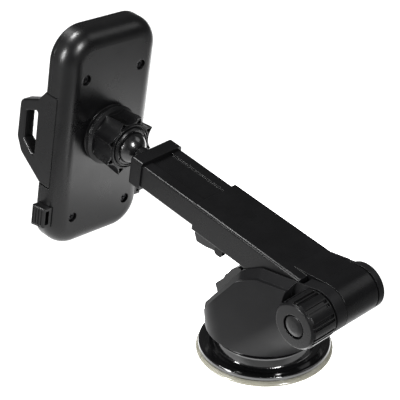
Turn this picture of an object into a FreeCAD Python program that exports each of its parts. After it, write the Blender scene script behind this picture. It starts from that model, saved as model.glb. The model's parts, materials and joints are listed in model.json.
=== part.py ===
import FreeCAD, Part
import math
import os

# Telescopic car phone mount: suction foot, hinged arm, ball joint and clamping cradle.
# Millimetres, +Z up. The origin is the centre of the suction face. The arm runs towards -Y,
# the elbow turns about X with its knob on the +X side, and the cradle faces -Y.

V = FreeCAD.Vector
Rotation = FreeCAD.Rotation
Placement = FreeCAD.Placement

# ---- driving dimensions -------------------------------------------------------------
# suction foot
PAD_RADIUS = 34.0
PAD_TOP = 2.6
FLANGE_RADIUS = 32.5
NECK_RADIUS = 25.2
NECK_BOTTOM = 5.2
CUP_BORE = 12.5
DOME_BOTTOM = 14.7
DOME_RADIUS = 29.0
DOME_WALL = 2.4
PLATE_THICK = 2.2
STUD_RADIUS = 2.5
STUD_TRAVEL = 3.75
# elbow
HUB_Y = 46.5
HUB_Z = 50.5
HUB_RADIUS = 11.46
HUB_LEFT = -12.57
HUB_RIGHT = 8.7
EAR_IN_RIGHT = 9.02
EAR_OUT_RIGHT = 15.32
WASHER_FLOOR = 14.46
EAR_IN_LEFT = -13.6
EAR_OUT_LEFT = -17.1
BOLT_HEAD_IN = -14.6
BOLT_RADIUS = 2.5
BOLT_CLEAR = 2.6
KNOB_START = 15.6
KNOB_FACE = 31.8
KNOB_RADIUS = 11.8
# arm
ARM_RISE = 9.61
TUBE_HALF_W = 14.2
TUBE_HALF_T = 7.9
TUBE_WALL = 1.25
TUBE_REAR = 14.6
TUBE_MOUTH = 82.9
CAVITY_REAR = 25.5
SLIDE_GAP = 0.15
INNER_REAR = 51.0
COLLAR_REAR = 121.4
COLLAR_FRONT = 129.6
NOSE_FRONT = 136.2
NOSE_RADIUS = 3.9
BALL_ALONG = 144.3
BALL_RADIUS = 8.5
STEM_RADIUS = 3.1
# ball joint
SEAT_IN = 8.56
SEAT_OUT = 9.65
SOCKET_RADIUS = 9.75
BOSS_RADIUS = 10.9
BOSS_FRONT = -1.1
RING_REAR = -0.8
RING_FRONT = 1.8
NUT_RADIUS = 16.4
NUT_BACK = -14.0
NUT_RIM = 0.3
NUT_LIP = 2.2
NUT_LOBES = 8
NUT_PHASE = 20.0
# cradle, in its own frame: origin at the ball, -Y towards the phone
CRADLE_PITCH = -5.4
CRADLE_ROLL = -5.3
BACK_Y = -16.84
COVER_Y = -28.9
FRONT_Y = -31.8
PAD_Y = -33.0
CASE_HALF_W = 30.7
CASE_HALF_H = 61.5
CASE_MID_Z = -2.85
CASE_CORNER = 16.7
CASE_EDGE = 9.0
CASE_WALL = 2.0
SCREW_HALF_X = 18.2
SCREW_HIGH_Z = 34.0
SCREW_LOW_Z = -45.4
# clamping arms and their gear
ARM_TOP_Z = 24.0
ARM_LOW_Z = -27.8
ARM_BACK_Y = -23.3
ARM_TIP_Y = -51.2
ARM_THICK = 5.6
ARM_TRAVEL = 17.0
GEAR_Z = -1.9
GEAR_RADIUS = 6.0
GEAR_TEETH = 12
TOOTH_THICK = 1.3
ADDENDUM = 0.7
DEDENDUM = 0.95
RACK_BACK_Y = -24.6
RACK_FRONT_Y = -28.2
RACK_DEPTH = 4.6
WEB_X = 22.6
SPRING_SEAT = 7.2
SPRING_OFFSET = 16.0
SPRING_Y = -26.4
# release buttons, pawl and foot
BUTTON_MID_Z = -43.5
BUTTON_FRONT_Y = -29.3
BUTTON_TRAVEL = 2.5
PAWL_TRAVEL = 1.8
FOOT_HALF_W = 12.0
BLADE_BACK_Y = -30.1
BLADE_TOP = -26.0
CASE_LOW_Z = CASE_MID_Z - CASE_HALF_H


os.makedirs("parts", exist_ok=True)


# ---- plain helpers --------------------------------------------------------------------
def box(x0, x1, y0, y1, z0, z1):
    return Part.makeBox(x1 - x0, y1 - y0, z1 - z0, V(x0, y0, z0))


def x_rod(radius, x0, x1, y=0.0, z=0.0):
    return Part.makeCylinder(radius, x1 - x0, V(x0, y, z), V(1, 0, 0))


def y_rod(radius, y0, y1, x=0.0, z=0.0):
    return Part.makeCylinder(radius, y1 - y0, V(x, y0, z), V(0, 1, 0))


def z_rod(radius, z0, z1, x=0.0, y=0.0):
    return Part.makeCylinder(radius, z1 - z0, V(x, y, z0), V(0, 0, 1))


def in_yz(x):
    return lambda u, v: V(x, u, v)


def in_xz(y):
    return lambda u, v: V(u, y, v)


def in_xy(z):
    return lambda u, v: V(u, v, z)


def corner_arc(before, corner, after, radius):
    """Start, middle and end of the arc that rounds one corner of an outline."""
    here = V(corner[0], corner[1], 0)
    back = (V(before[0], before[1], 0) - here).normalize()
    ahead = (V(after[0], after[1], 0) - here).normalize()
    half = back.getAngle(ahead) / 2
    bisector = (back + ahead).normalize()
    centre = here + bisector * (radius / math.sin(half))
    cut = radius / math.tan(half)
    return here + back * cut, centre - bisector * radius, here + ahead * cut


def outline(corners, plane):
    """Closed wire through corners (u, v) or (u, v, radius) in the given plane."""
    count = len(corners)
    spans = []
    for i, corner in enumerate(corners):
        if len(corner) == 3 and corner[2] > 0:
            spans.append(corner_arc(corners[i - 1], corner, corners[(i + 1) % count], corner[2]))
        else:
            spans.append((V(corner[0], corner[1], 0),) * 3)
    edges = []
    for i, (start, middle, end) in enumerate(spans):
        if (end - start).Length > 1e-6:
            edges.append(Part.Arc(plane(start.x, start.y), plane(middle.x, middle.y),
                                  plane(end.x, end.y)).toShape())
        following = spans[(i + 1) % count][0]
        if (following - end).Length > 1e-6:
            edges.append(Part.makeLine(plane(end.x, end.y), plane(following.x, following.y)))
    return Part.Wire(edges)


def prism(corners, plane, along):
    return Part.Face(outline(corners, plane)).extrude(along)


def prism_x(corners, x0, x1):
    return prism(corners, in_yz(x0), V(x1 - x0, 0, 0))


def prism_y(corners, y0, y1):
    return prism(corners, in_xz(y0), V(0, y1 - y0, 0))


def prism_z(corners, z0, z1):
    return prism(corners, in_xy(z0), V(0, 0, z1 - z0))


def turned(profile, axis_point=V(0, 0, 0), axis=V(0, 0, 1)):
    """Solid of revolution from (radius, height) corners, turned about Z, then laid on an axis."""
    solid = Part.Face(outline(profile, in_xz(0))).revolve(V(0, 0, 0), V(0, 0, 1), 360)
    solid.Placement = Placement(axis_point, Rotation(V(0, 0, 1), axis))
    return solid


def slab(half_w, low_z, high_z, corner, y0, y1):
    """Plate in the XZ plane with rounded corners."""
    corners = [(-half_w, low_z, corner), (half_w, low_z, corner),
               (half_w, high_z, corner), (-half_w, high_z, corner)]
    return prism_y(corners, y0, y1)


def edges_in_plane(shape, axis, value):
    """Edges that lie wholly in the plane where one coordinate has this value."""
    found = []
    for edge in shape.Edges:
        places = [getattr(vertex.Point, axis) for vertex in edge.Vertexes]
        if places and all(abs(place - value) < 1e-4 for place in places):
            found.append(edge)
    return found


def edges_along(shape, axis):
    """Straight edges that run along one coordinate axis."""
    found = []
    for edge in shape.Edges:
        if edge.Curve.TypeId == "Part::GeomLine" and abs(edge.Curve.Direction.dot(axis)) > 0.999:
            found.append(edge)
    return found


def coil(radius, wire, start, end, turns):
    """Round-wire coil spring between two points."""
    height = (end - start).Length - 2 * wire
    helix = Part.makeHelix(height / turns, height, radius)
    section = Part.Wire(Part.makeCircle(wire, V(radius, 0, 0), V(0, 1, 0)))
    spring = Part.Wire(helix.Edges).makePipeShell([section], True, True)
    direction = (end - start).normalize()
    spring.Placement = Placement(start + direction * wire, Rotation(V(0, 0, 1), direction))
    return spring


def fuse(shapes):
    whole = shapes[0]
    for shape in shapes[1:]:
        whole = whole.fuse(shape)
    return whole.removeSplitter()


def sphere(radius):
    return Part.makeSphere(radius)


ARM_FRAME = Placement(V(0, HUB_Y, HUB_Z), Rotation(V(1, 0, 0), -ARM_RISE))
BALL_CENTRE = ARM_FRAME.multVec(V(0, -BALL_ALONG, 0))
CRADLE_FRAME = Placement(BALL_CENTRE, Rotation(V(1, 0, 0), CRADLE_PITCH)
                         .multiply(Rotation(V(0, 1, 0), CRADLE_ROLL)))
WORLD = Placement()


def save(node, shape, frame=WORLD):
    """Write one node, moved from its own frame to the frame of the whole mount."""
    placed = shape.copy()
    placed.Placement = frame.multiply(placed.Placement)
    placed.exportStep("parts/" + node + ".step")
    print(node, len(placed.Solids), placed.isValid(), round(placed.Volume, 1))


# ---- suction foot ---------------------------------------------------------------------
LEVER_Y = -7.0
LEVER_Z = 31.0
LEVER_HALF_SWING = 15.0
STUD_PIN_Z = LEVER_Z - LEVER_Y * math.tan(math.radians(LEVER_HALF_SWING))
ROOF_Z = 38.3
SLOT_Z = 44.3
BRIDGE_Z = 46.3
BEVEL = 3.4
CHEEK_IN = 14.75
SCREW_RING = 20.0
BASE_SCREW_ANGLES = (90.0, 210.0, 330.0)


def gel_pad():
    return turned([(0, 0), (PAD_RADIUS - 0.7, 0), (PAD_RADIUS, 0.7, 0.4),
                   (PAD_RADIUS - 0.8, PAD_TOP - 0.9, 0.5), (PAD_RADIUS - 2.2, PAD_TOP), (0, PAD_TOP)])


def cup_body():
    top = DOME_BOTTOM - 0.1
    profile = [(CUP_BORE, PAD_TOP), (FLANGE_RADIUS - 0.4, PAD_TOP), (FLANGE_RADIUS, PAD_TOP + 0.8, 0.4),
               (FLANGE_RADIUS - 0.3, PAD_TOP + 2.3, 0.6), (FLANGE_RADIUS - 1.8, PAD_TOP + 2.4, 0.4),
               (NECK_RADIUS + 2.2, NECK_BOTTOM - 1.0, 1.5), (NECK_RADIUS, NECK_BOTTOM, 0.8),
               (NECK_RADIUS - 1.2, 9.4, 3.0), (NECK_RADIUS - 0.4, top), (CUP_BORE, top)]
    return turned(profile)


def cup_membrane():
    return turned([(8.4, 7.4), (CUP_BORE - 0.1, 6.2), (CUP_BORE - 0.1, 7.2), (8.4, 8.4)])


def pull_stud():
    collar_z = 26.6
    top = STUD_PIN_Z + 2.3
    stud = turned([(0, 7.0), (8.2, 7.0), (8.2, 8.8, 0.5), (STUD_RADIUS, 10.4, 1.0), (STUD_RADIUS, collar_z),
                   (4.7, collar_z), (4.7, collar_z + 1.0), (STUD_RADIUS, collar_z + 1.0),
                   (STUD_RADIUS, top), (0, top)])
    return stud.cut(x_rod(1.25, -4, 4, 0, STUD_PIN_Z))


def stud_pin():
    return x_rod(1.25, -6.6, 6.6, 0, STUD_PIN_Z)


def stud_spring():
    start = DOME_BOTTOM + PLATE_THICK
    return coil(4.4, 0.4, V(0, 0, start), V(0, 0, 26.6), 4)


def base_screw_places():
    places = []
    for angle in BASE_SCREW_ANGLES:
        turn = math.radians(angle)
        places.append((SCREW_RING * math.cos(turn), SCREW_RING * math.sin(turn)))
    return places


def base_plate():
    low = DOME_BOTTOM
    high = DOME_BOTTOM + PLATE_THICK
    plate = z_rod(DOME_RADIUS - DOME_WALL - 0.35, low, high).fuse(z_rod(3.6, high, high + 3.2))
    plate = plate.cut(z_rod(STUD_RADIUS + 0.08, low - 1, high + 4))
    for x, y in base_screw_places():
        plate = plate.cut(z_rod(2.6, low - 1, low + 1.4, x, y))
        plate = plate.cut(z_rod(1.4, low, high + 1, x, y))
    return plate


def base_screws():
    solids = []
    for x, y in base_screw_places():
        head = z_rod(2.4, DOME_BOTTOM, DOME_BOTTOM + 1.4, x, y)
        shank = z_rod(1.3, DOME_BOTTOM + 1.4, DOME_BOTTOM + 10.0, x, y)
        cross = fuse([box(x - 1.4, x + 1.4, y - 0.3, y + 0.3, DOME_BOTTOM - 1, DOME_BOTTOM + 0.7),
                      box(x - 0.3, x + 0.3, y - 1.4, y + 1.4, DOME_BOTTOM - 1, DOME_BOTTOM + 0.7)])
        solids.append(head.fuse(shank).cut(cross))
    return Part.makeCompound(solids)


def tangent_angle(y, z, side):
    """Angle at which a line from (y, z) touches the ear disc on the given side."""
    run = y - HUB_Y
    rise = z - HUB_Z
    return math.atan2(rise, run) + side * math.acos(HUB_RADIUS / math.hypot(run, rise))


def ear_apex(front, rear):
    """Meeting point of the two outline edges that touch the ear disc."""
    first = tangent_angle(front[0], front[1], -1)
    last = tangent_angle(rear[0], rear[1], 1)
    middle = (first + last) / 2
    reach = HUB_RADIUS / math.cos((first - last) / 2)
    return HUB_Y + reach * math.cos(middle), HUB_Z + reach * math.sin(middle)


def dome_form(inset):
    """Outer form of the foot housing, or the same form moved inwards by a wall."""
    crest = (10.5, 57.4)
    heel = (29.2, 20.0)
    apex = ear_apex(crest, heel)
    side = outline([(-34.0, -8.0), (-29.5, 16.0, 6.0), (-1.5, 50.6, 12.0), crest + (12.0,),
                    apex + (HUB_RADIUS,), heel + (6.0,), (34.0, -8.0)], in_yz(0))
    if inset:
        side = side.makeOffset2D(-inset)
    bevelled = side.makeOffset2D(-BEVEL)
    inner_x = CHEEK_IN + 0.6
    outer_x = CHEEK_IN + 0.6 + BEVEL
    halves = []
    for sign in (1, -1):
        near = side.copy()
        near.translate(V(sign * inner_x, 0, 0))
        far = bevelled.copy()
        far.translate(V(sign * outer_x, 0, 0))
        halves.append(Part.makeLoft([near, far], True, True))
        halves.append(Part.Face(far).extrude(V(sign * 14, 0, 0)))
    core = Part.Face(side).extrude(V(2 * inner_x, 0, 0))
    core.translate(V(-inner_x, 0, 0))
    across = fuse([core] + halves)
    sections = []
    for half_w, front, rear, corner, z in ((DOME_RADIUS, -DOME_RADIUS, DOME_RADIUS, 28.6, DOME_BOTTOM),
                                           (26.6, -30.0, 36.0, 24.0, 27.0),
                                           (18.7, -32.0, 66.0, 12.0, 66.0)):
        half_w -= inset
        front += inset
        rear -= inset
        corner -= inset
        sections.append(outline([(-half_w, front, corner), (half_w, front, corner),
                                 (half_w, rear, corner), (-half_w, rear, corner)], in_xy(z)))
    plan = Part.makeLoft(sections, True, False)
    return plan.common(across)


def base_dome():
    outer = dome_form(0)
    ears = fuse([x_rod(HUB_RADIUS, EAR_IN_RIGHT, EAR_OUT_RIGHT, HUB_Y, HUB_Z),
                 x_rod(HUB_RADIUS, EAR_OUT_LEFT, EAR_IN_LEFT, HUB_Y, HUB_Z)])
    body = outer.fuse(ears)
    # room outside the ears for the knob and for the plain end disc
    body = body.cut(x_rod(16.5, EAR_OUT_RIGHT, 40, HUB_Y, HUB_Z))
    body = body.cut(x_rod(14.0, -40, EAR_OUT_LEFT, HUB_Y, HUB_Z))
    # hollow under the roof
    hollow = dome_form(DOME_WALL).common(box(-60, 60, -60, 80, DOME_BOTTOM - 5, ROOF_Z - DOME_WALL))
    floor = z_rod(DOME_RADIUS - DOME_WALL, DOME_BOTTOM - 1, DOME_BOTTOM + 2.6)
    body = body.cut(hollow).cut(floor)
    # slot that the arm swings through, and the narrower one for its hub
    swing = prism_x([(-60, BRIDGE_Z), (5, BRIDGE_Z), (24, SLOT_Z), (90, SLOT_Z), (90, 120), (-60, 120)],
                    -CHEEK_IN, CHEEK_IN).cut(x_rod(14.2, -20, 20, HUB_Y, HUB_Z))
    hub_slot = prism_x([(9.0, SLOT_Z), (21.0, ROOF_Z), (70, ROOF_Z), (70, 90), (9.0, 90)],
                       EAR_IN_LEFT, EAR_IN_RIGHT)
    body = body.cut(swing).cut(hub_slot)
    posts = fuse([z_rod(3.2, DOME_BOTTOM + PLATE_THICK, 60, x, y) for x, y in base_screw_places()])
    body = body.fuse(posts.common(dome_form(1.0)).common(box(-60, 60, -60, 60, 0, ROOF_Z - 1)))
    # lugs for the lever pin, hung from the roof
    for sign in (1, -1):
        lug = prism_x([(LEVER_Y - 3.6, ROOF_Z - 1), (LEVER_Y - 3.6, LEVER_Z - 3.2, 3.0),
                       (LEVER_Y + 3.6, LEVER_Z - 3.2, 3.0), (LEVER_Y + 3.6, ROOF_Z - 1)],
                      sign * 10.2, sign * 13.2)
        body = body.fuse(lug)
    # mouth for the lever
    mouth = prism_x([(-36, 21.6), (-20.5, 21.6), (-14.5, 25.0), (LEVER_Y + 4.6, 27.0),
                     (LEVER_Y + 4.6, 37.0), (0.9, 43.5), (0.9, 48.0), (-36, 48.0)], -9.9, 9.9)
    body = body.cut(mouth)
    body = body.cut(x_rod(1.56, -13.3, 13.3, LEVER_Y, LEVER_Z))
    body = body.cut(x_rod(BOLT_CLEAR, -20, 20, HUB_Y, HUB_Z))
    body = body.cut(x_rod(6.1, EAR_OUT_LEFT - 1, EAR_OUT_LEFT + 0.9, HUB_Y, HUB_Z))
    body = body.cut(x_rod(8.12, WASHER_FLOOR, EAR_OUT_RIGHT + 1, HUB_Y, HUB_Z))
    body = body.cut(hexagon_x(8.1, EAR_OUT_LEFT, BOLT_HEAD_IN))
    for x, y in base_screw_places():
        body = body.cut(z_rod(1.32, DOME_BOTTOM, DOME_BOTTOM + 11.0, x, y))
    return body.removeSplitter()


def hexagon_x(across_flats, x0, x1):
    """Hexagonal bar along the elbow axis."""
    reach = across_flats / math.sqrt(3)
    corners = []
    for step in range(6):
        turn = math.radians(60 * step)
        corners.append((HUB_Y + reach * math.cos(turn), HUB_Z + reach * math.sin(turn)))
    return prism_x(corners, x0, x1)


def base_lever():
    handle = prism_x([(-22.7, 23.2, 0.8), (-24.9, 29.4, 1.5), (-19.2, 35.2, 1.5), (-18.2, 37.4, 0.6),
                      (-15.2, 40.8, 1.0), (-14.2, 42.4, 0.6), (-10.0, 45.4, 1.5), (-7.5, 45.6, 0.8),
                      (-7.3, 41.0), (LEVER_Y - 2.0, 33.5), (-15.8, 32.0), (-20.4, 23.4, 0.6)], -9.3, 9.3)
    grooves = []
    for y, z in ((-21.9, 32.6), (-16.5, 39.5), (-12.0, 44.3)):
        grooves.append(x_rod(0.7, -10, 10, y, z))
    handle = handle.cut(fuse(grooves))
    core = prism_x([(-17.5, 33.0), (LEVER_Y - 3.4, 36.4), (LEVER_Y - 3.4, LEVER_Z - 2.4), (-15.0, 29.0)],
                   -9.3, 9.3)
    boss = x_rod(3.3, -9.3, 9.3, LEVER_Y, LEVER_Z)
    body = fuse([handle, core, boss])
    tip = STUD_PIN_Z
    for sign in (1, -1):
        crank = prism_x([(LEVER_Y, LEVER_Z + 3.1), (1.2, tip + 2.5, 1.6), (3.4, tip - 0.6, 1.6),
                         (1.0, tip - 3.0, 1.6), (LEVER_Y, LEVER_Z - 3.1)], sign * 3.4, sign * 6.2)
        body = body.fuse(crank)
    reach = -LEVER_Y / math.cos(math.radians(LEVER_HALF_SWING))
    along = V(0, math.cos(math.radians(LEVER_HALF_SWING)), math.sin(math.radians(LEVER_HALF_SWING)))
    centre = V(0, LEVER_Y, LEVER_Z)
    slot = fuse([x_rod(1.5, -7, 7, 0, STUD_PIN_Z),
                 x_rod(1.5, -7, 7, (centre + along * (reach - 0.7)).y, (centre + along * (reach - 0.7)).z)])
    body = body.cut(slot).cut(x_rod(1.56, -12, 12, LEVER_Y, LEVER_Z))
    gap = box(-3.4, 3.4, LEVER_Y + 3.4, 6, LEVER_Z - 6, LEVER_Z + 8)
    return body.cut(gap).removeSplitter()


def lever_pin():
    return x_rod(1.5, -13.1, 13.1, LEVER_Y, LEVER_Z)


# ---- elbow ----------------------------------------------------------------------------
def elbow_bolt():
    head = hexagon_x(8.0, EAR_OUT_LEFT + 1.0, BOLT_HEAD_IN)
    shank = x_rod(BOLT_RADIUS, BOLT_HEAD_IN, 27.0, HUB_Y, HUB_Z)
    return head.fuse(shank)


def bolt_cover():
    return turned([(0, 0), (6.0, 0), (6.0, 0.7), (5.6, 0.9), (0, 0.9)],
                  V(EAR_OUT_LEFT + 0.9, HUB_Y, HUB_Z), V(-1, 0, 0))


def friction_washers():
    washers = []
    for x0, x1 in ((EAR_IN_LEFT, HUB_LEFT + 0.5), (HUB_RIGHT - 0.5, EAR_IN_RIGHT)):
        washers.append(x_rod(8.0, x0, x1, HUB_Y, HUB_Z).cut(x_rod(BOLT_CLEAR, x0 - 1, x1 + 1, HUB_Y, HUB_Z)))
    return Part.makeCompound(washers)


def knob_washer():
    x0 = WASHER_FLOOR + 0.02
    x1 = KNOB_START - 0.05
    return x_rod(8.0, x0, x1, HUB_Y, HUB_Z).cut(x_rod(BOLT_CLEAR, x0 - 1, x1 + 1, HUB_Y, HUB_Z))


def elbow_knob():
    """Grip with wide and narrow lands that alternate round its rim."""
    length = KNOB_FACE - KNOB_START
    knob = turned([(0, 0), (KNOB_RADIUS - 1.2, 0), (KNOB_RADIUS, 1.2), (KNOB_RADIUS, length - 1.6),
                   (KNOB_RADIUS - 1.2, length, 0.6), (0, length)])
    groove_half = 0.75
    groove_floor = KNOB_RADIUS - 1.2
    for step in range(10):
        for offset in (-5.5, 5.5):
            groove = box(groove_floor, KNOB_RADIUS + 2, -groove_half, groove_half, 1.6, length - 1.0)
            groove.rotate(V(0, 0, 0), V(0, 0, 1), 36.0 * step + offset)
            knob = knob.cut(groove)
    ring = z_rod(6.0, length - 1.9, length + 1)
    knob = knob.cut(ring).cut(z_rod(4.4, -1, length - 4.4)).cut(z_rod(BOLT_CLEAR, -1, length - 3.0))
    knob = knob.cut(z_rod(8.2, -1, 0.35).cut(z_rod(7.0, -2, 1)))
    knob.Placement = Placement(V(KNOB_START, HUB_Y, HUB_Z), Rotation(V(0, 0, 1), V(1, 0, 0)))
    return knob


def knob_insert():
    x0 = KNOB_START + 0.4
    insert = x_rod(4.4, x0, KNOB_FACE - 4.4, HUB_Y, HUB_Z)
    return insert.cut(x_rod(BOLT_RADIUS + 0.06, x0 - 1, KNOB_FACE, HUB_Y, HUB_Z))


def knob_cap():
    start = KNOB_FACE - 1.9
    return turned([(0, 0), (5.3, 0), (5.3, 1.5, 0.5), (3.0, 2.1, 6.0), (0, 2.2)],
                  V(start, HUB_Y, HUB_Z), V(1, 0, 0))


# ---- arm, in its own frame: origin at the elbow, -Y along the arm -----------------------
LATCH_AT = -64.5
LATCH_T = -9.9
BOTTOM_WALL = -TUBE_HALF_T + TUBE_WALL


def outer_tube():
    beam = box(-TUBE_HALF_W, TUBE_HALF_W, -TUBE_MOUTH, -TUBE_REAR, -TUBE_HALF_T, TUBE_HALF_T)
    beam = beam.makeFillet(1.5, edges_along(beam, V(0, 1, 0)))
    hub = x_rod(HUB_RADIUS, HUB_LEFT, HUB_RIGHT)
    tangent = math.acos((HUB_RADIUS - TUBE_HALF_T) / 22.0)
    top_y = -HUB_RADIUS * math.cos(tangent)
    top_t = HUB_RADIUS * math.sin(tangent)
    root = prism_x([(0, 0), (top_y, top_t), (-23.0, TUBE_HALF_T), (-23.0, -TUBE_HALF_T), (top_y, -top_t)],
                   HUB_LEFT, HUB_RIGHT)
    body = fuse([hub, root, beam])
    # the side walls end in a slope that clears the ears of the foot
    for x0, x1 in ((HUB_RIGHT, 30), (-30, HUB_LEFT)):
        slope = prism_x([(0, 2.5), (-TUBE_REAR, 2.5), (-24.5, -TUBE_HALF_T - 0.1), (-24.5, -30),
                         (0, -30)], x0, x1)
        body = body.cut(slope)
    bore = box(-TUBE_HALF_W + TUBE_WALL, TUBE_HALF_W - TUBE_WALL, -TUBE_MOUTH - 1, -CAVITY_REAR,
               BOTTOM_WALL, TUBE_HALF_T - TUBE_WALL)
    body = body.cut(bore).cut(x_rod(BOLT_CLEAR, -20, 20))
    for x0, x1 in ((HUB_LEFT - 1, HUB_LEFT + 0.5), (HUB_RIGHT - 0.5, HUB_RIGHT + 1)):
        body = body.cut(x_rod(8.1, x0, x1))
    # window for the latch shoe, and two lugs for its pin
    body = body.cut(box(-7.3, 7.3, -79.3, -74.7, -TUBE_HALF_T - 1, BOTTOM_WALL + 1))
    for sign in (1, -1):
        lug = prism_x([(LATCH_AT + 2.6, -TUBE_HALF_T + 0.5), (LATCH_AT + 2.6, LATCH_T - 1.8, 1.8),
                       (LATCH_AT - 2.6, LATCH_T - 1.8, 1.8), (LATCH_AT - 2.6, -TUBE_HALF_T + 0.5)],
                      sign * 11.4, sign * 13.7)
        body = body.fuse(lug)
    return body.cut(x_rod(1.05, -12.85, 12.85, LATCH_AT, LATCH_T)).removeSplitter()


def arm_latch():
    """Cam lever under the tube mouth, thick at its front end."""
    top = -TUBE_HALF_T - 0.25
    paddle = prism_x([(LATCH_AT - 1.0, top), (-82.4, top), (-83.2, -11.0, 1.0),
                      (-81.2, -15.0, 1.2), (-75.5, -14.4, 3.0), (LATCH_AT + 1.0, LATCH_T - 1.7, 1.4),
                      (LATCH_AT + 1.6, LATCH_T + 0.4, 0.8)], -11.1, 11.1)
    shoe = box(-7.0, 7.0, -79.0, -75.0, -TUBE_HALF_T - 1.0, BOTTOM_WALL + SLIDE_GAP - 0.1)
    return paddle.fuse(shoe).cut(x_rod(1.05, -12, 12, LATCH_AT, LATCH_T)).removeSplitter()


def latch_pin():
    return x_rod(1.0, -12.8, 12.8, LATCH_AT, LATCH_T)


def inner_tube():
    half_w = TUBE_HALF_W - TUBE_WALL - SLIDE_GAP
    half_t = TUBE_HALF_T - TUBE_WALL - SLIDE_GAP
    tube = box(-half_w, half_w, -COLLAR_REAR, -INNER_REAR, -half_t, half_t)
    tube = tube.makeFillet(1.0, edges_along(tube, V(0, 1, 0)))
    wall = 1.7
    tube = tube.cut(box(-half_w + wall, half_w - wall, -COLLAR_REAR - 1, -INNER_REAR + 1,
                        -half_t + wall, half_t - wall))
    channel = box(-6.7, 6.7, -COLLAR_REAR - 1, -INNER_REAR - 6, half_t - 0.8, half_t + 1)
    return tube.cut(channel)


def collar():
    half_w = TUBE_HALF_W - 0.5
    block = box(-half_w, half_w, -COLLAR_FRONT, -COLLAR_REAR, -8.3, 8.1)
    block = block.makeFillet(1.6, edges_along(block, V(0, 1, 0)) + edges_in_plane(block, "y", -COLLAR_FRONT))
    plug_w = TUBE_HALF_W - TUBE_WALL - SLIDE_GAP - 1.8
    plug_t = TUBE_HALF_T - TUBE_WALL - SLIDE_GAP - 1.8
    plug = box(-plug_w, plug_w, -COLLAR_REAR, -COLLAR_REAR + 9.0, -plug_t, plug_t - 0.8)
    nose = Part.makeCone(5.4, NOSE_RADIUS, NOSE_FRONT - COLLAR_FRONT + 0.6, V(0, -COLLAR_FRONT + 0.6, 0),
                         V(0, -1, 0))
    body = fuse([block, plug, nose])
    body = body.cut(y_rod(STEM_RADIUS + 0.02, -NOSE_FRONT - 1, -COLLAR_REAR + 5.0))
    screw_y = -COLLAR_REAR - 4.0
    return body.cut(z_rod(1.25, -12, -2, 0, screw_y)).cut(z_rod(2.5, -12, -6.8, 0, screw_y))


def collar_screw():
    y = -COLLAR_REAR - 4.0
    head = z_rod(2.3, -8.2, -6.8, 0, y)
    shank = z_rod(1.2, -6.8, -STEM_RADIUS - 0.05, 0, y)
    slot = box(-3, 3, y - 0.35, y + 0.35, -9, -7.6)
    return head.fuse(shank).cut(slot)


def ball_stud():
    ball = sphere(BALL_RADIUS)
    ball.translate(V(0, -BALL_ALONG, 0))
    stem = y_rod(STEM_RADIUS, -BALL_ALONG, -COLLAR_REAR + 4.6)
    return ball.fuse(stem).removeSplitter()


# ---- ball joint, in the cradle frame -----------------------------------------------------
def shell_zone(inner, outer, y0, y1):
    """Part of a spherical shell between two planes across the Y axis."""
    shell = sphere(outer).cut(sphere(inner))
    return shell.common(y_rod(outer + 1, y0, y1))


def ball_seat():
    rim = -SEAT_IN * math.cos(math.radians(45))
    return shell_zone(SEAT_IN, SEAT_OUT, -SEAT_OUT - 1, rim)


def friction_ring():
    """Slit ring that the nut squeezes onto the ball."""
    ring = shell_zone(SEAT_IN, SEAT_OUT, RING_REAR, RING_FRONT)
    for step in range(6):
        slit = box(-0.5, 0.5, RING_REAR + 0.9, RING_FRONT + 1, 5, 11)
        slit.rotate(V(0, 0, 0), V(0, 1, 0), 60.0 * step)
        ring = ring.cut(slit)
    return ring


def nut_outline(tip, waist, y):
    """Scalloped star outline: pointed lobes with hollows between them."""
    edges = []
    half = math.pi / NUT_LOBES
    for step in range(NUT_LOBES):
        start = 2 * half * step + math.radians(NUT_PHASE)
        ends = [V(tip * math.cos(start), y, tip * math.sin(start)),
                V(waist * math.cos(start + half), y, waist * math.sin(start + half)),
                V(tip * math.cos(start + 2 * half), y, tip * math.sin(start + 2 * half))]
        edges.append(Part.Arc(*ends).toShape())
    return Part.Wire(edges)


def ball_nut():
    """Lobed clamping nut with a hollow pocket behind each lobe."""
    wide = nut_outline(NUT_RADIUS, 12.7, NUT_RIM)
    narrow = nut_outline(NUT_RADIUS - 1.6, 12.4, NUT_BACK + 0.8)
    body = Part.makeLoft([narrow, wide], True, True).common(y_rod(NUT_RADIUS - 0.3, NUT_BACK, NUT_RIM))
    skirt = turned([(0, NUT_BACK), (15.9, NUT_BACK), (16.2, NUT_BACK + 0.3), (16.2, NUT_BACK + 0.8),
                    (14.4, NUT_BACK + 1.8), (0, NUT_BACK + 1.8)], V(0, 0, 0), V(0, 1, 0))
    throat = turned([(0, NUT_RIM - 2.0), (12.2, NUT_RIM - 2.0), (12.2, NUT_RIM + 0.7, 0.3),
                     (11.5, NUT_RIM + 0.7), (11.3, NUT_RIM), (10.8, NUT_RIM), (10.6, NUT_LIP - 0.8),
                     (9.9, NUT_LIP), (0, NUT_LIP)], V(0, 0, 0), V(0, 1, 0))
    body = fuse([body, skirt, throat])
    for step in range(NUT_LOBES):
        pocket = prism_y([(12.5, -1.6, 0.3), (15.0, -0.4), (15.0, 0.4), (12.5, 1.6, 0.3)],
                         NUT_RIM - 3.6, NUT_RIM + 1)
        pocket.rotate(V(0, 0, 0), V(0, 1, 0), 360.0 / NUT_LOBES * step - NUT_PHASE)
        body = body.cut(pocket)
    body = body.cut(y_rod(BOSS_RADIUS + 0.1, NUT_BACK - 1, RING_REAR - 0.1))
    return body.cut(sphere(SOCKET_RADIUS)).removeSplitter()


def nut_washer():
    y1 = NUT_BACK - 0.05
    y0 = y1 - 0.9
    return y_rod(16.0, y0, y1).cut(y_rod(BOSS_RADIUS + 0.1, y0 - 1, y1 + 1))


# ---- cradle case --------------------------------------------------------------------------
SCREW_PLACES = [(side * SCREW_HALF_X, z) for side in (1, -1) for z in (SCREW_HIGH_Z, SCREW_LOW_Z)]
SHELF_Y = -21.3


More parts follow.
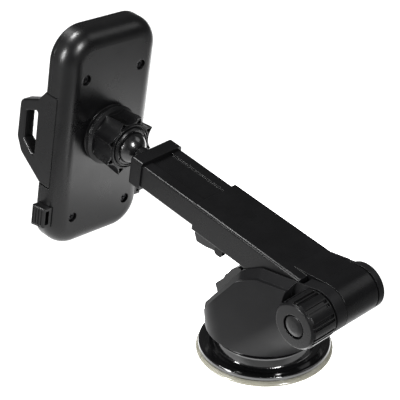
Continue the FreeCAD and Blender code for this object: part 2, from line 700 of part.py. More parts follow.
def case_form(inset, front):
    """Rounded case block from its back face to the given front plane."""
    back = BACK_Y - inset
    block = slab(CASE_HALF_W - inset, CASE_MID_Z - CASE_HALF_H + inset, CASE_MID_Z + CASE_HALF_H - inset,
                 CASE_CORNER - inset, front, back)
    return block.makeFillet(CASE_EDGE - inset, edges_in_plane(block, "y", back))


def side_openings(y_far):
    """Space of the clamping arms and the release buttons in both side walls."""
    cuts = []
    for sign in (1, -1):
        x0, x1 = sorted((sign * 25.0, sign * 40.0))
        cuts.append(box(x0, x1, y_far, ARM_BACK_Y, ARM_LOW_Z - 0.25, ARM_TOP_Z + 0.25))
        cuts.append(box(x0, x1, BUTTON_FRONT_Y, -20.7, BUTTON_MID_Z - 5.9, BUTTON_MID_Z + 5.9))
    return fuse(cuts)


def rear_housing():
    shell = case_form(0, COVER_Y).cut(case_form(CASE_WALL, COVER_Y - 1))
    boss = y_rod(BOSS_RADIUS, BACK_Y - 1, BOSS_FRONT)
    flare = turned([(0, BACK_Y - 0.5), (15.4, BACK_Y - 0.5), (15.4, BACK_Y), (14.6, BACK_Y + 1.75, 0.6),
                    (0, BACK_Y + 1.75)], V(0, 0, 0), V(0, 1, 0))
    body = fuse([shell, boss, flare])
    for x, z in SCREW_PLACES:
        body = body.fuse(y_rod(3.7, SHELF_Y, BACK_Y - CASE_WALL + 0.5, x, z))
    for sign in (1, -1):
        x0, x1 = sorted((sign * SPRING_SEAT, sign * (SPRING_SEAT - 1.6)))
        z = GEAR_Z + sign * SPRING_OFFSET
        body = body.fuse(box(x0, x1, -28.4, BACK_Y - CASE_WALL + 0.5, z - 2.4, z + 2.4))
    post = y_rod(3.4, -23.9, BACK_Y - CASE_WALL + 0.5, 0, GEAR_Z)
    body = body.fuse(post).cut(sphere(SOCKET_RADIUS))
    for x, z in SCREW_PLACES:
        body = body.cut(y_rod(2.75, -19.8, BACK_Y + 1, x, z)).cut(y_rod(1.45, SHELF_Y - 1, BACK_Y, x, z))
    body = body.cut(side_openings(COVER_Y - 1))
    body = body.cut(y_rod(1.5, -30, -20.2, 0, GEAR_Z))
    return body.removeSplitter()


def front_cover():
    plate = slab(CASE_HALF_W, CASE_MID_Z - CASE_HALF_H, CASE_MID_Z + CASE_HALF_H, CASE_CORNER,
                 FRONT_Y, COVER_Y)
    plate = plate.makeFillet(1.0, edges_in_plane(plate, "y", FRONT_Y))
    for x, z in SCREW_PLACES:
        plate = plate.fuse(y_rod(3.4, COVER_Y - 0.5, SHELF_Y - 0.02, x, z))
    # lip that centres the cover in the shell
    rim = case_form(CASE_WALL + 0.15, COVER_Y).cut(case_form(CASE_WALL + 1.35, COVER_Y - 1))
    rim = rim.common(box(-60, 60, COVER_Y - 0.01, COVER_Y + 1.6, -90, 90))
    plate = plate.fuse(rim)
    for x, z in SCREW_PLACES:
        plate = plate.cut(y_rod(1.15, COVER_Y - 0.5, SHELF_Y + 1, x, z))
    plate = plate.fuse(y_rod(3.2, COVER_Y - 0.5, RACK_FRONT_Y - 0.4, 0, GEAR_Z))
    plate = plate.cut(y_rod(1.5, FRONT_Y + 1.0, -20, 0, GEAR_Z))
    # channel for the blade of the sliding foot, covered by the pad
    half_w = FOOT_HALF_W + 0.25
    plate = plate.cut(box(-half_w, half_w, FRONT_Y - 1, BLADE_BACK_Y + 0.1, -80, BLADE_TOP + 0.3))
    plate = plate.cut(side_openings(FRONT_Y - 1))
    for sign in (1, -1):
        x0, x1 = sorted((sign * 22.0, sign * 28.6))
        plate = plate.cut(box(x0, x1, FRONT_Y + 1.2, -20, BUTTON_MID_Z - 6.0, BUTTON_MID_Z + 8.0))
    return plate.removeSplitter()


def front_pad():
    """Rubber sheet with shallow upright grip channels."""
    low = CASE_MID_Z - CASE_HALF_H + 6.0
    high = CASE_MID_Z + CASE_HALF_H - 6.0
    pad = slab(22.4, low, high, 10.0, PAD_Y, FRONT_Y)
    pad = pad.makeFillet(0.5, edges_in_plane(pad, "y", PAD_Y))
    for step in range(-4, 5):
        pad = pad.cut(box(4.4 * step - 0.6, 4.4 * step + 0.6, PAD_Y - 1, PAD_Y + 0.5, low + 7, high - 7))
    return pad


def housing_screws():
    screws = []
    for x, z in SCREW_PLACES:
        head = y_rod(2.45, -19.8, -18.3, x, z)
        shank = y_rod(1.15, -27.0, -19.8, x, z)
        cross = fuse([box(x - 1.5, x + 1.5, -19.1, -18, z - 0.3, z + 0.3),
                      box(x - 0.3, x + 0.3, -19.1, -18, z - 1.5, z + 1.5)])
        screws.append(head.fuse(shank).cut(cross))
    return Part.makeCompound(screws)


# ---- clamping arms with rack and pinion -----------------------------------------------------
def rack_teeth(count_left, count_right, direction):
    """Straight-sided teeth in a row along X, pointing to the gear."""
    pitch = 2 * math.pi * GEAR_RADIUS / GEAR_TEETH
    line = GEAR_Z + direction * GEAR_RADIUS
    slope = math.tan(math.radians(20))
    teeth = []
    for step in range(-count_left, count_right + 1):
        x = pitch * step
        root = TOOTH_THICK / 2 + DEDENDUM * slope
        tip = TOOTH_THICK / 2 - ADDENDUM * slope
        root_z = line + direction * (DEDENDUM + 0.2)
        tip_z = line - direction * ADDENDUM
        teeth.append(prism_y([(x - root, root_z), (x - tip, tip_z), (x + tip, tip_z), (x + root, root_z)],
                             RACK_FRONT_Y, RACK_BACK_Y))
    return teeth


def grip_arm_right():
    """Clamping arm on the +X side, with a window in its wing and a rack behind it."""
    outer_x = CASE_HALF_W
    wing = prism_x([(ARM_BACK_Y - 0.1, ARM_TOP_Z), (ARM_BACK_Y - 0.1, ARM_LOW_Z), (-31.4, ARM_LOW_Z, 1.5),
                    (-47.5, -17.0, 6.0), (ARM_TIP_Y, -9.5, 5.0), (ARM_TIP_Y + 0.6, 12.0, 4.0),
                    (-37.4, 17.6, 3.0), (-32.2, ARM_TOP_Z, 1.5)], outer_x - ARM_THICK, outer_x)
    window = prism_x([(-37.0, 11.2, 1.2), (-45.8, 7.6, 1.2), (-45.8, -8.2, 1.2), (-37.0, -15.6, 1.2)],
                     outer_x - ARM_THICK - 1, outer_x + 1)
    wing = wing.cut(window)
    wing = wing.makeFillet(1.0, [edge for edge in edges_in_plane(wing, "x", outer_x)
                                 if edge.BoundBox.YMax < ARM_BACK_Y - 9])
    inner_x = outer_x - ARM_THICK
    web = box(WEB_X, inner_x + 1, RACK_FRONT_Y, RACK_BACK_Y, GEAR_Z - 18.5, GEAR_Z + 18.5)
    low = GEAR_Z + GEAR_RADIUS + DEDENDUM
    bar = box(-19.6, 23.6, RACK_FRONT_Y, RACK_BACK_Y, low, low + RACK_DEPTH)
    return fuse([wing, web, bar] + rack_teeth(5, 5, 1))


def grip_arm_left():
    """Mirror image of the wing, with its rack below the gear."""
    outer_x = -CASE_HALF_W
    body = grip_arm_right()
    wing = body.common(box(CASE_HALF_W - ARM_THICK, 60, -80, 0, -60, 60)).mirror(V(0, 0, 0), V(1, 0, 0))
    inner_x = outer_x + ARM_THICK
    web = box(inner_x - 1, -WEB_X, RACK_FRONT_Y, RACK_BACK_Y, GEAR_Z - 18.5, GEAR_Z + 18.5)
    high = GEAR_Z - GEAR_RADIUS - DEDENDUM
    bar = box(-23.6, 19.6, RACK_FRONT_Y, RACK_BACK_Y, high - RACK_DEPTH, high)
    return fuse([wing, web, bar] + rack_teeth(5, 5, -1))


def arm_pad(sign):
    """Rubber pad round the window on the inner face of a wing."""
    face = CASE_HALF_W - ARM_THICK
    x0, x1 = sorted((sign * (face - 1.3), sign * face))
    pad = prism_x([(-34.0, 17.6, 1.0), (-34.0, -20.5, 1.0), (-46.4, -15.0, 5.0), (-49.8, -8.6, 4.0),
                   (-49.4, 10.6, 3.0), (-38.2, 15.6, 2.0)], x0, x1)
    window = prism_x([(-36.4, 11.8, 1.4), (-46.4, 8.0, 1.4), (-46.4, -8.8, 1.4), (-36.4, -16.2, 1.4)],
                     x0 - 1, x1 + 1)
    return pad.cut(window)


def involute_point(base, roll, turn, flip):
    radius = base * math.sqrt(1 + roll * roll)
    angle = turn + flip * (roll - math.atan(roll))
    return V(radius * math.sin(angle), 0, radius * math.cos(angle))


def pinion():
    """Spur gear whose gaps face the two racks."""
    pressure = math.radians(20)
    base = GEAR_RADIUS * math.cos(pressure)
    half_tooth = TOOTH_THICK / (2 * GEAR_RADIUS) + math.tan(pressure) - pressure
    tip_roll = math.sqrt(((GEAR_RADIUS + ADDENDUM) / base) ** 2 - 1)
    root = GEAR_RADIUS - DEDENDUM - 0.1
    blank = y_rod(root, RACK_FRONT_Y, RACK_BACK_Y)
    shapes = [blank]
    for tooth in range(GEAR_TEETH):
        centre = 2 * math.pi * (tooth + 0.5) / GEAR_TEETH
        left = [involute_point(base, tip_roll * step / 5, centre - half_tooth, 1) for step in range(6)]
        right = [involute_point(base, tip_roll * step / 5, centre + half_tooth, -1) for step in range(6)]
        inner_left = V(left[0].x * 0.8, 0, left[0].z * 0.8)
        inner_right = V(right[0].x * 0.8, 0, right[0].z * 0.8)
        points = [inner_left] + left + right[::-1] + [inner_right, inner_left]
        face = Part.Face(Part.makePolygon(points))
        face.translate(V(0, RACK_FRONT_Y, 0))
        shapes.append(face.extrude(V(0, RACK_BACK_Y - RACK_FRONT_Y, 0)))
    gear = fuse(shapes).cut(y_rod(1.56, -40, 0))
    gear.translate(V(0, 0, GEAR_Z))
    return gear


def pinion_pin():
    return y_rod(1.5, FRONT_Y + 1.05, -20.25, 0, GEAR_Z)


def arm_springs():
    """Two coils that push the clamping arms apart, each against a seat of the case."""
    springs = []
    for sign in (1, -1):
        z = GEAR_Z + sign * SPRING_OFFSET
        springs.append(coil(1.9, 0.3, V(sign * (SPRING_SEAT + 0.05), SPRING_Y, z),
                            V(sign * (WEB_X - 0.05), SPRING_Y, z), 9))
    return Part.makeCompound(springs)


# ---- release buttons and pawl ---------------------------------------------------------------
WEDGE_RISE = PAWL_TRAVEL / BUTTON_TRAVEL
PAWL_TOP = GEAR_Z - GEAR_RADIUS - DEDENDUM - RACK_DEPTH - 0.15
EAR_Z = -41.0
WEDGE_TOP = 3.0
WEDGE_REACH = 9.0
BAR_END = 5.6


def release_button(sign):
    """Ribbed push button in the side wall with a wedge that pulls the pawl down."""
    mid = BUTTON_MID_Z
    face = prism_z([(29.0, -21.0), (34.0, -21.0, 0.8), (36.2, -28.4, 1.0), (35.4, -29.0, 0.4), (29.0, -29.0)],
                   mid - 5.6, mid + 5.6)
    for step in range(4):
        y = -22.8 - 1.6 * step
        face = face.cut(box(34.1 + 0.42 * step, 40, y - 0.35, y + 0.35, mid - 4.6, mid + 4.6))
    hollow = box(30.9, 33.2, -26.6, -19.0, mid - 4.0, mid + 4.0)
    face = face.cut(hollow)
    stop = box(26.0, 28.2, -28.7, -24.4, mid - 5.6, mid + 7.6)
    neck = box(28.0, 29.2, -28.7, -21.3, mid - 5.2, mid + 5.2)
    low_in = EAR_Z + 0.25
    bar = prism_y([(BAR_END, low_in - (BAR_END - WEDGE_TOP) * WEDGE_RISE),
                   (WEDGE_REACH, low_in - (WEDGE_REACH - WEDGE_TOP) * WEDGE_RISE),
                   (11.0, -39.8), (27.0, -39.8), (27.0, -36.0), (BAR_END, -36.0)],
                  RACK_FRONT_Y, RACK_BACK_Y)
    body = fuse([face, neck, stop, bar])
    if sign < 0:
        body = body.mirror(V(0, 0, 0), V(1, 0, 0))
    return body


def lock_pawl():
    """Brake shoe below the lower rack, pulled down by either button."""
    low = EAR_Z - (WEDGE_REACH - WEDGE_TOP) * WEDGE_RISE
    ears = prism_y([(-WEDGE_TOP, EAR_Z), (-WEDGE_REACH, low), (-WEDGE_REACH, -48.0),
                    (WEDGE_REACH, -48.0), (WEDGE_REACH, low), (WEDGE_TOP, EAR_Z)],
                   RACK_FRONT_Y, RACK_BACK_Y)
    stem = box(-2.8, 2.8, RACK_FRONT_Y, RACK_BACK_Y, EAR_Z - 1, PAWL_TOP)
    head = box(-5.0, 5.0, RACK_FRONT_Y, RACK_BACK_Y, PAWL_TOP - 4.0, PAWL_TOP)
    peg = z_rod(1.2, -51.0, -47.5, 0, -26.4)
    return fuse([ears, stem, head, peg])


def pawl_spring():
    return coil(1.75, 0.3, V(0, -26.4, -58.0), V(0, -26.4, -48.05), 6)


# ---- sliding foot ---------------------------------------------------------------------------
def foot():
    """Sliding shelf under the phone, on a flat blade."""
    blade = box(-FOOT_HALF_W, FOOT_HALF_W, FRONT_Y + 0.1, BLADE_BACK_Y, CASE_LOW_Z, BLADE_TOP)
    low = CASE_LOW_Z - 0.4
    shelf = prism_x([(BLADE_BACK_Y, low), (BLADE_BACK_Y, low + 2.2), (FRONT_Y, low + 2.2),
                     (FRONT_Y - 0.2, low + 2.8), (-45.4, low + 2.8), (-46.8, low + 7.0, 0.6),
                     (-48.4, low + 7.0, 0.6), (-48.4, low + 1.2, 1.2), (-46.5, low, 1.2)],
                    -FOOT_HALF_W, FOOT_HALF_W)
    body = blade.fuse(shelf)
    for step in range(3):
        z = -31.0 - 8.0 * step
        body = body.cut(box(-8.0, 8.0, FRONT_Y - 1, FRONT_Y + 0.7, z - 2.2, z + 2.2))
    return body.removeSplitter()


def foot_pad():
    top = CASE_LOW_Z - 0.4 + 2.8
    return box(-10.5, 10.5, -44.6, -34.0, top, top + 0.9)


# ---- write every node ---------------------------------------------------------------------
save("gel_pad", gel_pad())
save("cup_body", cup_body())
save("cup_membrane", cup_membrane())
save("pull_stud", pull_stud())
save("stud_pin", stud_pin())
save("stud_spring", stud_spring())
save("base_plate", base_plate())
save("base_screws", base_screws())
save("base_dome", base_dome())
save("base_lever", base_lever())
save("lever_pin", lever_pin())
save("elbow_bolt", elbow_bolt())
save("bolt_cover", bolt_cover())
save("friction_washers", friction_washers())
save("knob_washer", knob_washer())
save("elbow_knob", elbow_knob())
save("knob_insert", knob_insert())
save("knob_cap", knob_cap())
save("outer_tube", outer_tube(), ARM_FRAME)
save("arm_latch", arm_latch(), ARM_FRAME)
save("latch_pin", latch_pin(), ARM_FRAME)
save("inner_tube", inner_tube(), ARM_FRAME)
save("collar", collar(), ARM_FRAME)
save("collar_screw", collar_screw(), ARM_FRAME)
save("ball_stud", ball_stud(), ARM_FRAME)
save("ball_seat", ball_seat(), CRADLE_FRAME)
save("friction_ring", friction_ring(), CRADLE_FRAME)
save("ball_nut", ball_nut(), CRADLE_FRAME)
save("nut_washer", nut_washer(), CRADLE_FRAME)
save("rear_housing", rear_housing(), CRADLE_FRAME)
save("front_cover", front_cover(), CRADLE_FRAME)
save("front_pad", front_pad(), CRADLE_FRAME)
save("housing_screws", housing_screws(), CRADLE_FRAME)
save("grip_arm_right", grip_arm_right(), CRADLE_FRAME)
save("grip_arm_left", grip_arm_left(), CRADLE_FRAME)
save("arm_pad_right", arm_pad(1), CRADLE_FRAME)
save("arm_pad_left", arm_pad(-1), CRADLE_FRAME)
save("pinion", pinion(), CRADLE_FRAME)
save("pinion_pin", pinion_pin(), CRADLE_FRAME)
save("arm_springs", arm_springs(), CRADLE_FRAME)
save("release_button_right", release_button(1), CRADLE_FRAME)
save("release_button_left", release_button(-1), CRADLE_FRAME)
save("lock_pawl", lock_pawl(), CRADLE_FRAME)
save("pawl_spring", pawl_spring(), CRADLE_FRAME)
save("foot", foot(), CRADLE_FRAME)
save("foot_pad", foot_pad(), CRADLE_FRAME)
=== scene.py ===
import json

import bmesh
import bpy
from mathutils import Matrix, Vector, noise


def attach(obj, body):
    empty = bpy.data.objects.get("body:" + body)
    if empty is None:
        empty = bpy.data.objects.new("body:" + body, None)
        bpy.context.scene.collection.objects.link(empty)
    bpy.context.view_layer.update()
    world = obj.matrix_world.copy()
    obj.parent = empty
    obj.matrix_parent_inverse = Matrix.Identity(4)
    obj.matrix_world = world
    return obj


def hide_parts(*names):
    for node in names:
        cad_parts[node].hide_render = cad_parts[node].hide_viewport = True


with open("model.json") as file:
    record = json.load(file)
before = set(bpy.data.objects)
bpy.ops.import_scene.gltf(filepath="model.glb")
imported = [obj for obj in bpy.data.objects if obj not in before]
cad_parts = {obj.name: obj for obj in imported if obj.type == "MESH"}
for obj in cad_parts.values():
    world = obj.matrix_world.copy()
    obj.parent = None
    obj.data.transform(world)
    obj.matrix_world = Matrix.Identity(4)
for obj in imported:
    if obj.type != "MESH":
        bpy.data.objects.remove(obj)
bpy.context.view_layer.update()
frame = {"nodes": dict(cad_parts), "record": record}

NODES = frame["nodes"]

# set
BEVEL_SAMPLES = 6
FLOOR_REACH = 6.0
FLOOR_DROP = 0.0002
WORLD_STRENGTH = 0.10
LENS_MM = 134.85
SENSOR_MM = 36.0
CAMERA_PLACE = (0.4413, 0.4048, 0.4343)
CAMERA_TARGET = (-0.00295, -0.0479, 0.0617)
ARM_MIDDLE = (0.0, -0.05, 0.08)
ARM_LOW = (0.0, -0.05, 0.05)
CRADLE_LOW = (0.0, 0.0, 0.05)


# ---- shader helpers -------------------------------------------------------------------
class Graph:
    """A material's node tree, with short calls for the nodes that this scene uses."""

    def __init__(self, name):
        self.material = bpy.data.materials.new(name)
        self.material.use_nodes = True
        self.tree = self.material.node_tree
        self.tree.nodes.clear()
        self.output = self.node("ShaderNodeOutputMaterial")
        self.shader = self.node("ShaderNodeBsdfPrincipled")
        self.join(self.shader.outputs["BSDF"], self.output.inputs["Surface"])
        self.coordinates = self.node("ShaderNodeTexCoord").outputs["Object"]

    def node(self, kind, **settings):
        made = self.tree.nodes.new(kind)
        for key, value in settings.items():
            setattr(made, key, value)
        return made

    def join(self, output, socket):
        self.tree.links.new(output, socket)

    def noise(self, scale, detail=3.0, roughness=0.55, stretch=None):
        made = self.node("ShaderNodeTexNoise")
        made.inputs["Scale"].default_value = scale
        made.inputs["Detail"].default_value = detail
        made.inputs["Roughness"].default_value = roughness
        place = self.coordinates
        if stretch:
            mapping = self.node("ShaderNodeMapping")
            mapping.inputs["Scale"].default_value = stretch
            self.join(place, mapping.inputs["Vector"])
            place = mapping.outputs["Vector"]
        self.join(place, made.inputs["Vector"])
        return made.outputs["Fac"]

    def cells(self, scale):
        made = self.node("ShaderNodeTexVoronoi")
        made.inputs["Scale"].default_value = scale
        self.join(self.coordinates, made.inputs["Vector"])
        return made.outputs["Distance"]

    def spread(self, value, low, high, start=0.3, end=0.7):
        made = self.node("ShaderNodeMapRange")
        made.inputs["From Min"].default_value = start
        made.inputs["From Max"].default_value = end
        made.inputs["To Min"].default_value = low
        made.inputs["To Max"].default_value = high
        self.join(value, made.inputs["Value"])
        return made.outputs["Result"]

    def ramp(self, value, stops):
        made = self.node("ShaderNodeValToRGB")
        band = made.color_ramp
        while len(band.elements) < len(stops):
            band.elements.new(0.5)
        for element, (place, colour) in zip(band.elements, stops):
            element.position = place
            element.color = (*colour, 1.0)
        self.join(value, made.inputs["Fac"])
        return made.outputs["Color"]

    def maths(self, operation, first, second):
        made = self.node("ShaderNodeMath", operation=operation)
        for socket, value in zip(made.inputs, (first, second)):
            if isinstance(value, (int, float)):
                socket.default_value = value
            else:
                self.join(value, socket)
        return made.outputs["Value"]

    def mix(self, factor, first, second):
        made = self.node("ShaderNodeMix", data_type="RGBA")
        self.join(factor, made.inputs["Factor"])
        for socket, value in ((made.inputs[6], first), (made.inputs[7], second)):
            if isinstance(value, tuple):
                socket.default_value = (*value, 1.0)
            else:
                self.join(value, socket)
        return made.outputs[2]

    def bump(self, height, strength, distance, normal=None):
        made = self.node("ShaderNodeBump")
        made.inputs["Strength"].default_value = strength
        made.inputs["Distance"].default_value = distance
        self.join(height, made.inputs["Height"])
        if normal is not None:
            self.join(normal, made.inputs["Normal"])
        return made.outputs["Normal"]

    def soft_edges(self, radius):
        made = self.node("ShaderNodeBevel", samples=BEVEL_SAMPLES)
        made.inputs["Radius"].default_value = radius
        return made.outputs["Normal"]

    def edge_mask(self, radius):
        """1 on sharp edges, 0 on flat faces."""
        bevel = self.soft_edges(radius)
        geometry = self.node("ShaderNodeNewGeometry")
        made = self.node("ShaderNodeVectorMath", operation="DOT_PRODUCT")
        self.join(bevel, made.inputs[0])
        self.join(geometry.outputs["Normal"], made.inputs[1])
        return self.spread(made.outputs["Value"], 1.0, 0.0, 0.75, 0.99)

    def along(self, direction):
        """Distance from the origin, measured along a direction."""
        made = self.node("ShaderNodeVectorMath", operation="DOT_PRODUCT")
        self.join(self.coordinates, made.inputs[0])
        made.inputs[1].default_value = direction
        return made.outputs["Value"]

    def profile(self, value, points):
        """Level that changes smoothly through the given (place, level) points."""
        level = points[0][1]
        for (start, low), (end, high) in zip(points, points[1:]):
            made = self.node("ShaderNodeMapRange", interpolation_type="SMOOTHSTEP")
            made.inputs["From Min"].default_value = start
            made.inputs["From Max"].default_value = end
            made.inputs["To Min"].default_value = 0.0
            made.inputs["To Max"].default_value = high - low
            self.join(value, made.inputs["Value"])
            level = self.maths("ADD", level, made.outputs["Result"])
        return level

    def set(self, **values):
        for key, value in values.items():
            self.shader.inputs[key.replace("_", " ")].default_value = value


def moulded(name, dark, light, rough, grain_scale=2600.0, grain=0.25, edge=0.0004, specular=0.5,
            wear=0.35, haze=0.06):
    """Injection-moulded black plastic: fine spark grain, faint mottling and burnished edges."""
    g = Graph(name)
    mottle = g.noise(38.0, 4.0, 0.6)
    tone = g.ramp(mottle, [(0.3, dark), (0.72, light)])
    edges = g.edge_mask(edge)
    worn = tuple(min(1.0, channel * (1.0 + wear) + 0.006 * wear) for channel in light)
    g.join(g.mix(edges, tone, worn), g.shader.inputs["Base Color"])
    cloudy = g.spread(g.noise(62.0, 5.0, 0.65), rough - haze, rough + haze)
    fine = g.spread(g.noise(900.0, 2.0, 0.5), -0.02, 0.02)
    g.join(g.maths("ADD", cloudy, fine), g.shader.inputs["Roughness"])
    rounded = g.soft_edges(edge)
    grains = g.bump(g.noise(grain_scale, 2.0, 0.6), grain, 0.00006, rounded)
    g.join(grains, g.shader.inputs["Normal"])
    g.set(Specular_IOR_Level=specular, IOR=1.5)
    return g.material


def polished(name, dark, light, rough):
    """Glossy black moulding with a trace of orange peel and handling haze."""
    g = Graph(name)
    g.join(g.ramp(g.noise(30.0, 3.0), [(0.3, dark), (0.7, light)]), g.shader.inputs["Base Color"])
    g.join(g.spread(g.noise(120.0, 5.0, 0.7), rough * 0.75, rough * 1.3), g.shader.inputs["Roughness"])
    peel = g.bump(g.noise(420.0, 2.0, 0.5), 0.10, 0.00005, g.soft_edges(0.00035))
    g.join(peel, g.shader.inputs["Normal"])
    g.set(Specular_IOR_Level=0.6, IOR=1.52, Coat_Weight=0.3, Coat_Roughness=0.12)
    return g.material


def rubber(name, dark, light):
    """Matte silicone rubber with a dusty bloom."""
    g = Graph(name)
    dust = g.noise(70.0, 6.0, 0.7)
    g.join(g.ramp(dust, [(0.35, dark), (0.75, light)]), g.shader.inputs["Base Color"])
    g.join(g.spread(dust, 0.62, 0.8), g.shader.inputs["Roughness"])
    skin = g.bump(g.cells(1900.0), 0.3, 0.00008, g.soft_edges(0.0003))
    g.join(skin, g.shader.inputs["Normal"])
    g.set(Specular_IOR_Level=0.35, Sheen_Weight=0.15, Sheen_Roughness=0.6)
    return g.material


def gel(name):
    """Milky translucent polyurethane gel."""
    g = Graph(name)
    cloud = g.noise(46.0, 4.0, 0.6)
    milk = g.ramp(cloud, [(0.3, (0.155, 0.150, 0.120)), (0.7, (0.200, 0.195, 0.160))])
    g.join(milk, g.shader.inputs["Base Color"])
    g.join(g.spread(cloud, 0.16, 0.30), g.shader.inputs["Roughness"])
    g.join(g.bump(g.noise(240.0, 3.0), 0.08, 0.0001), g.shader.inputs["Normal"])
    g.set(IOR=1.45, Subsurface_Weight=0.3, Subsurface_Scale=0.003, Transmission_Weight=0.15)
    g.shader.inputs["Subsurface Radius"].default_value = (1.0, 1.0, 0.9)
    return g.material


def plated(name, dark, light, rough, lines):
    """Plated or turned metal with fine tool lines."""
    g = Graph(name)
    streak = g.noise(300.0, 4.0, 0.6, stretch=lines)
    g.join(g.ramp(streak, [(0.3, dark), (0.7, light)]), g.shader.inputs["Base Color"])
    g.join(g.spread(streak, rough - 0.08, rough + 0.1), g.shader.inputs["Roughness"])
    g.join(g.bump(streak, 0.15, 0.00004, g.soft_edges(0.00015)), g.shader.inputs["Normal"])
    g.set(Metallic=1.0)
    return g.material


def natural_acetal(name):
    """Ivory acetal, slightly translucent."""
    g = Graph(name)
    cloud = g.noise(55.0, 4.0)
    ivory = g.ramp(cloud, [(0.3, (0.70, 0.69, 0.63)), (0.7, (0.82, 0.81, 0.76))])
    g.join(ivory, g.shader.inputs["Base Color"])
    g.join(g.spread(cloud, 0.34, 0.48), g.shader.inputs["Roughness"])
    g.join(g.bump(g.noise(1500.0), 0.12, 0.00005, g.soft_edges(0.0002)), g.shader.inputs["Normal"])
    g.set(Subsurface_Weight=0.15, Subsurface_Scale=0.002)
    return g.material


MATERIALS = {
    "abs_black": moulded("abs_black", (0.0016, 0.0016, 0.0018), (0.0027, 0.0027, 0.0029), 0.31,
                         specular=0.34),
    "abs_dome": moulded("abs_dome", (0.0040, 0.0040, 0.0043), (0.0060, 0.0060, 0.0064), 0.40,
                         specular=0.11),
    "abs_knob": moulded("abs_knob", (0.0026, 0.0026, 0.0028), (0.0042, 0.0042, 0.0045), 0.30,
                         specular=0.22),
    "tube_black": moulded("tube_black", (0.0024, 0.0024, 0.0026), (0.0038, 0.0038, 0.0041), 0.30,
                          grain_scale=3400.0, specular=0.16),
    "gloss_black": polished("gloss_black", (0.0014, 0.0014, 0.0016), (0.0026, 0.0026, 0.0028), 0.11),
    "ball_black": polished("ball_black", (0.0022, 0.0022, 0.0024), (0.0036, 0.0036, 0.0039), 0.24),
    "rubber_black": rubber("rubber_black", (0.016, 0.016, 0.017), (0.028, 0.028, 0.029)),
    "gel_clear": gel("gel_clear"),
    "steel": plated("steel", (0.50, 0.50, 0.51), (0.66, 0.66, 0.67), 0.32, (1.0, 8.0, 8.0)),
    "screw_black": plated("screw_black", (0.035, 0.035, 0.037), (0.065, 0.065, 0.068), 0.42, (6.0, 1.0, 6.0)),
    "brass": plated("brass", (0.60, 0.43, 0.18), (0.76, 0.58, 0.28), 0.28, (1.0, 9.0, 9.0)),
    "acetal": natural_acetal("acetal"),
}


def dress_frame():
    """Give each carried-over node the finish that its record names."""
    for part in frame["record"]["subparts"]:
        shape = NODES[part["node"]]
        shape.data.materials.clear()
        shape.data.materials.append(MATERIALS[part["material_slot"]])


dress_frame()


# ---- soft pieces ------------------------------------------------------------------------
def body_of_node(node):
    for body, nodes in frame["record"]["behaviour"]["bodies"].items():
        if node in nodes:
            return body
    raise KeyError(node)


def slot_of_node(node):
    for part in frame["record"]["subparts"]:
        if part["node"] == node:
            return part["material_slot"]
    raise KeyError(node)


def soft_piece(node, voxel, smooth_steps, wave, wave_size):
    """Moulded soft piece in the room of its CAD solid: worn round at the edges and never quite flat."""
    source = NODES[node]
    mesh = source.data.copy()
    mesh.transform(source.matrix_world)
    piece = bpy.data.objects.new("soft_" + node, mesh)
    bpy.context.scene.collection.objects.link(piece)
    remesh = piece.modifiers.new("remesh", "REMESH")
    remesh.mode = "VOXEL"
    remesh.voxel_size = voxel
    rounded = piece.modifiers.new("rounded", "SMOOTH")
    rounded.factor = 0.5
    rounded.iterations = smooth_steps
    evaluated = piece.evaluated_get(bpy.context.evaluated_depsgraph_get())
    shaped = bpy.data.meshes.new_from_object(evaluated)
    piece.modifiers.clear()
    piece.data = shaped
    normals = [vertex.normal.copy() for vertex in shaped.vertices]
    for vertex, normal in zip(shaped.vertices, normals):
        sink = wave * (0.5 + 0.5 * noise.noise(vertex.co / wave_size))
        vertex.co -= normal * sink
    for face in shaped.polygons:
        face.use_smooth = True
    name = slot_of_node(node)
    shaped.materials.clear()
    shaped.materials.append(MATERIALS[name])
    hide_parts(node)
    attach(piece, body_of_node(node))


soft_piece("gel_pad", voxel=0.00045, smooth_steps=3, wave=0.00012, wave_size=0.006)
soft_piece("front_pad", voxel=0.00040, smooth_steps=2, wave=0.00005, wave_size=0.009)
soft_piece("arm_pad_right", voxel=0.00035, smooth_steps=3, wave=0.00006, wave_size=0.005)
soft_piece("arm_pad_left", voxel=0.00035, smooth_steps=3, wave=0.00006, wave_size=0.005)
soft_piece("foot_pad", voxel=0.00025, smooth_steps=2, wave=0.00004, wave_size=0.004)
soft_piece("cup_membrane", voxel=0.00030, smooth_steps=1, wave=0.00003, wave_size=0.004)


# ---- set: floor, light, camera ----------------------------------------------------------
# directions on the floor: along the main view, and across the right and left edges of its frame
VIEW_ALONG = Vector((0.7071, 0.7071, 0.0))
RIGHT_EDGE = Vector((-0.6314, 0.7828, 0.0))
LEFT_EDGE = Vector((-0.7955, 0.6187, 0.0))


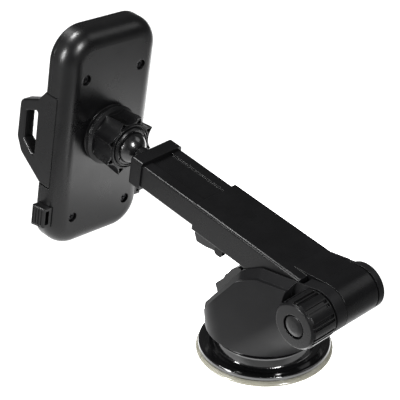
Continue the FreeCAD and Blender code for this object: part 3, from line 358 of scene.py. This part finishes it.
def floor_material():
    """Grey floor that glows white where the main camera sees it and is darker outside that area.

    A brighter patch under the cradle is reflected in the cradle's back.
    """
    g = Graph("floor")
    g.join(g.ramp(g.noise(3.0, 2.0), [(0.3, (0.16, 0.16, 0.16)), (0.7, (0.18, 0.18, 0.18))]),
           g.shader.inputs["Base Color"])
    g.join(g.spread(g.noise(40.0), 0.8, 0.9), g.shader.inputs["Roughness"])
    right = g.profile(g.along(RIGHT_EDGE), [(0.07, 1.04), (0.10, 0.22), (0.15, 0.06), (0.40, 0.03)])
    left = g.profile(g.along(LEFT_EDGE), [(-0.30, 0.05), (-0.19, 0.25), (-0.135, 1.0)])
    near = g.profile(g.along(VIEW_ALONG),
                     [(-0.9, 0.3), (-0.45, 1.0), (0.046, 1.0), (0.085, 0.12), (0.30, 0.06)])
    spot = g.profile(g.along(RIGHT_EDGE),
                     [(-0.06, 0.0), (-0.02, 2.2), (0.015, 2.2), (0.055, 0.0)])
    table = g.maths("MULTIPLY", g.maths("MULTIPLY", right, left), near)
    g.join(g.maths("ADD", table, g.maths("MULTIPLY", spot, near)), g.shader.inputs["Emission Strength"])
    g.set(Specular_IOR_Level=0.2)
    g.shader.inputs["Emission Color"].default_value = (1.0, 1.0, 1.0, 1.0)
    return g.material


def add_floor():
    grid = bmesh.new()
    corners = [grid.verts.new((FLOOR_REACH * x, FLOOR_REACH * y, 0.0))
               for x, y in ((-1, -1), (1, -1), (1, 1), (-1, 1))]
    grid.faces.new(corners)
    mesh = bpy.data.meshes.new("floor")
    grid.to_mesh(mesh)
    grid.free()
    floor = bpy.data.objects.new("floor", mesh)
    bpy.context.scene.collection.objects.link(floor)
    floor.data.materials.append(floor_material())
    floor.location.z = -FLOOR_DROP


def aim(thing, target):
    direction = Vector(target) - thing.location
    thing.rotation_mode = "QUATERNION"
    thing.rotation_quaternion = direction.to_track_quat("-Z", "Y")


def add_panel(name, place, target, width, height, power):
    light = bpy.data.lights.new(name, "AREA")
    light.shape = "RECTANGLE"
    light.size = width
    light.size_y = height
    light.energy = power
    lamp = bpy.data.objects.new(name, light)
    lamp.location = place
    bpy.context.scene.collection.objects.link(lamp)
    aim(lamp, target)


def add_world():
    world = bpy.data.worlds.new("studio")
    world.use_nodes = True
    background = world.node_tree.nodes["Background"]
    background.inputs["Color"].default_value = (1.0, 1.0, 1.0, 1.0)
    background.inputs["Strength"].default_value = WORLD_STRENGTH
    bpy.context.scene.world = world


def add_camera():
    """Long lens from the right, above and behind the cradle."""
    camera = bpy.data.cameras.new("camera")
    camera.sensor_width = SENSOR_MM
    camera.lens = LENS_MM
    holder = bpy.data.objects.new("camera", camera)
    bpy.context.scene.collection.objects.link(holder)
    holder.location = CAMERA_PLACE
    aim(holder, CAMERA_TARGET)
    bpy.context.scene.camera = holder


add_floor()
add_world()
add_panel("right_softbox", (1.0, -0.26, 0.42), ARM_MIDDLE, 0.13, 0.45, 17.0)
add_panel("left_softbox", (0.22, 0.92, 0.72), ARM_MIDDLE, 0.13, 0.36, 17.0)
add_panel("overhead", (0.10, -0.42, 1.0), ARM_LOW, 0.30, 0.20, 13.0)
add_panel("back_rim", (-0.66, 0.42, 0.74), CRADLE_LOW, 0.50, 0.50, 1.3)
add_camera()
bpy.context.scene.view_settings.view_transform = "Standard"
